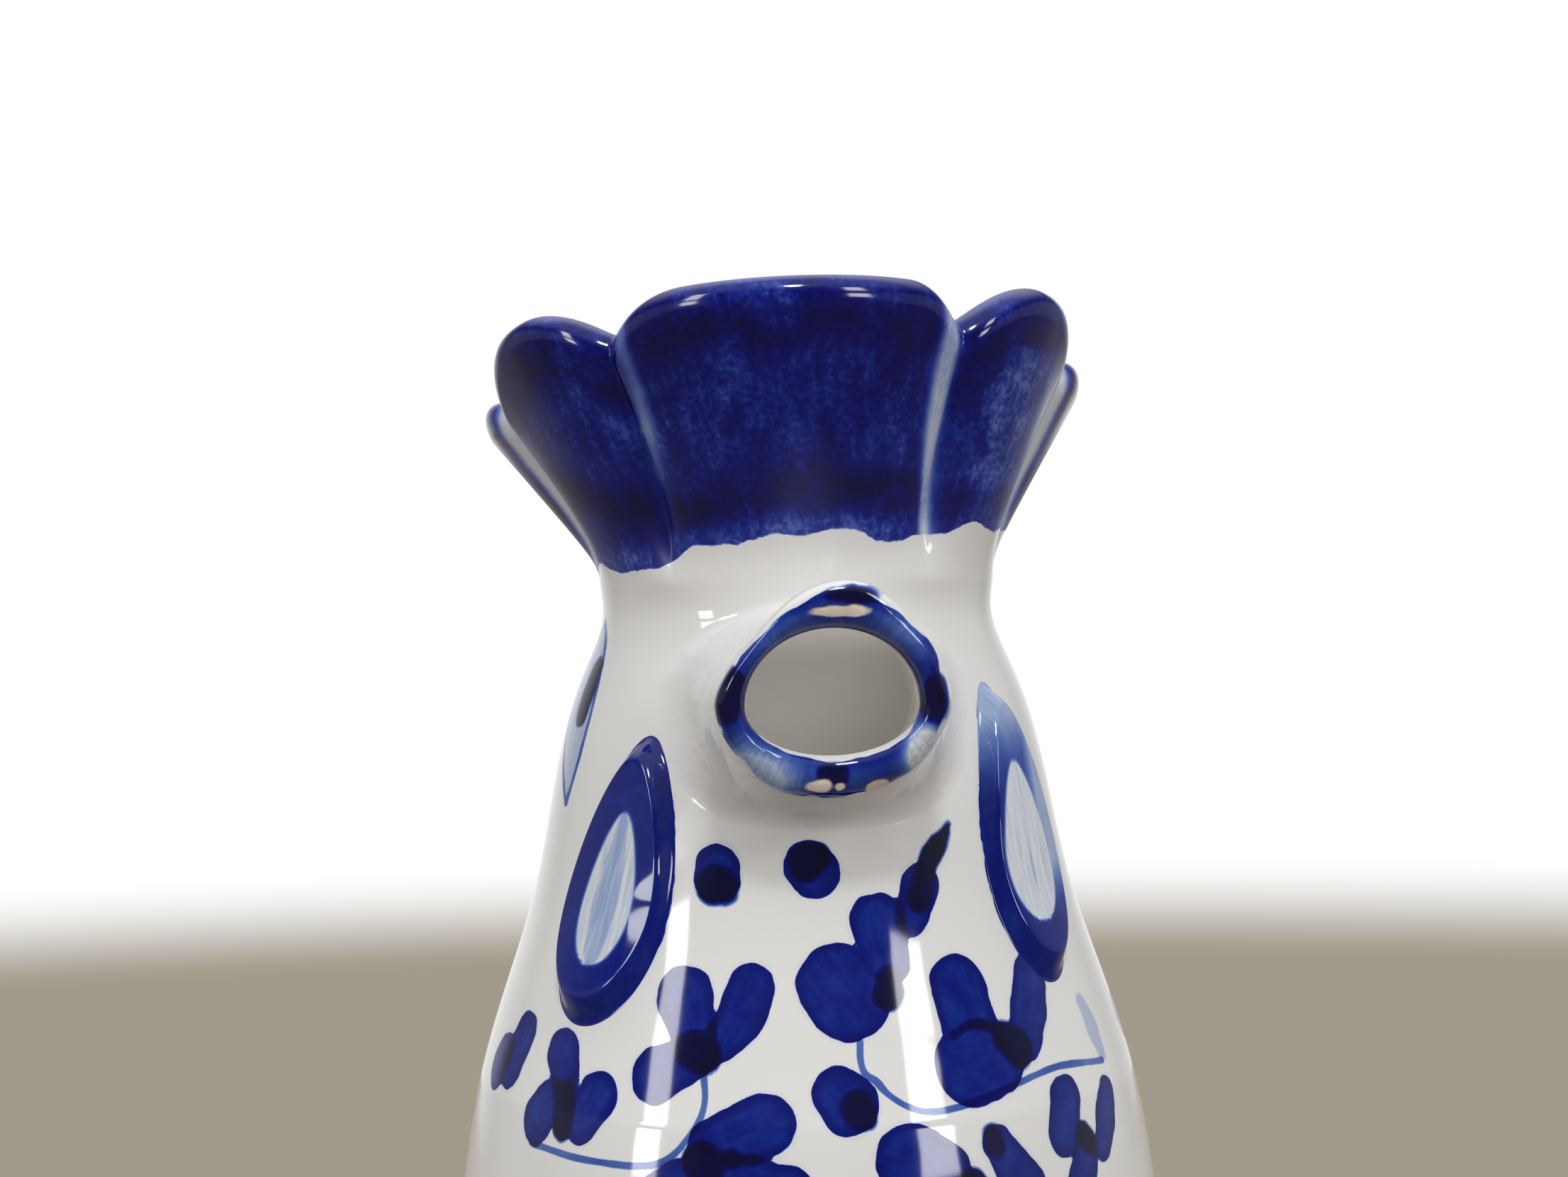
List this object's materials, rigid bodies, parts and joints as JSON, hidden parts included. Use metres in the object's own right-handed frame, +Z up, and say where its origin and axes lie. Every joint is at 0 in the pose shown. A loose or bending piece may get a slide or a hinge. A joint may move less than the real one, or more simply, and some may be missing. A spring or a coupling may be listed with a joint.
{
  "type": "milk jug",
  "caption": "Glazed earthenware milk jug in the form of a hen, with a fluted comb round its mouth, an open beak spout, raised wattles and a strap handle.",
  "frame": {"origin": "centre of the flat base, on the surface that the jug stands on", "axes": "+Z up along the pot's axis, -Y towards the beak spout, +Y towards the handle, +X to the right when looking at the beak"},
  "size_m": [0.0824, 0.1136, 0.1604],
  "materials": {
    "white_glaze": "glossy clear glaze over white slip, with brushed cobalt painting",
    "cobalt_glaze": "glossy mottled cobalt glaze"
  },
  "bodies": {
    "root": {"pot_body": "white_glaze", "comb_collar": "cobalt_glaze", "beak_spout": "white_glaze", "wattle_left": "cobalt_glaze", "wattle_right": "cobalt_glaze", "strap_handle": "white_glaze"}
  },
  "joints": []
}
